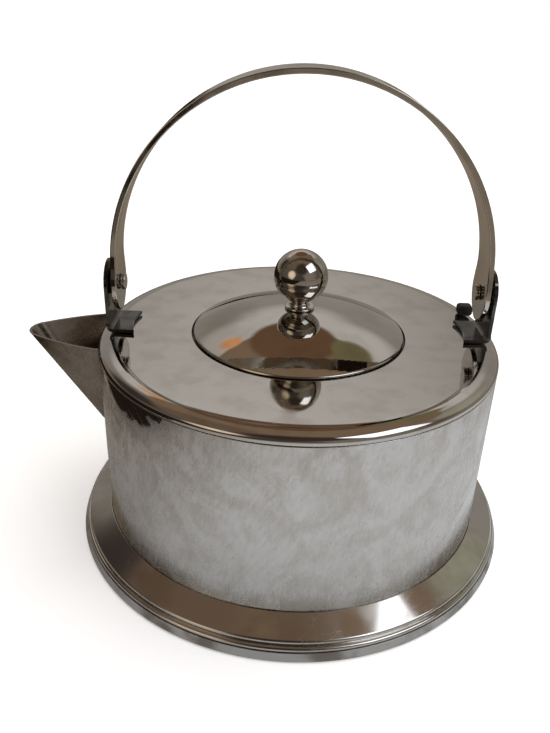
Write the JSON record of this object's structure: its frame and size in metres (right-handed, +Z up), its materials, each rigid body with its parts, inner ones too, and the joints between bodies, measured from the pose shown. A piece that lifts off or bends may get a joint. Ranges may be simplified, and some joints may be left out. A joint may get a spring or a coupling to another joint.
{
  "type": "stovetop kettle",
  "caption": "Low drum kettle of polished sheet steel with a flared foot ring, half-cone spout, domed lift-off lid with a ball knob, and a strap handle that swings on two ears.",
  "frame": {"origin": "centre of the flat underside of the base plate, on the drum's axis", "axes": "+Z up along the drum's axis; the spout points along -X; the handle's pivot axis is parallel to X"},
  "size_m": [0.2348, 0.214, 0.218],
  "materials": {
    "satin_steel": "satin stainless steel, fine drawn lines and swirl scratches",
    "mirror_steel": "mirror-polished stainless steel with fine scratches",
    "grey_steel": "dull grey stainless steel",
    "aluminium": "pressed plate, sealed inside the base",
    "black_rubber": "matte black moulded rubber"
  },
  "bodies": {
    "kettle": {"base_plate": "grey_steel", "heat_core": "aluminium", "floor_pan": "satin_steel", "foot_ring": "mirror_steel", "body_wall": "satin_steel", "top_deck": "mirror_steel", "lid_seat": "satin_steel", "spout": "satin_steel", "rear_ear": "mirror_steel", "front_ear": "mirror_steel", "rear_pivot_rivet": "mirror_steel", "front_pivot_rivet": "mirror_steel", "rear_pivot_spacer": "grey_steel", "front_pivot_spacer": "grey_steel", "handle_bumper": "black_rubber"},
    "handle": {"handle_strap": "mirror_steel"},
    "lid": {"lid_dome": "mirror_steel", "lid_skirt": "satin_steel", "knob_foot_ring": "mirror_steel", "knob_neck": "mirror_steel", "knob_ball": "mirror_steel", "knob_lock_washer": "grey_steel", "knob_screw": "grey_steel"}
  },
  "joints": [
    {"name": "handle_swing", "type": "hinge", "parent": "kettle", "child": "handle", "pos_m": [0, 0, 0.1233], "axis": [1, 0, 0], "range_deg": [-97, 97]},
    {"name": "lid_lift", "type": "slide", "parent": "kettle", "child": "lid", "axis": [0, 0, 1], "range_m": [0, 0.06]}
  ]
}
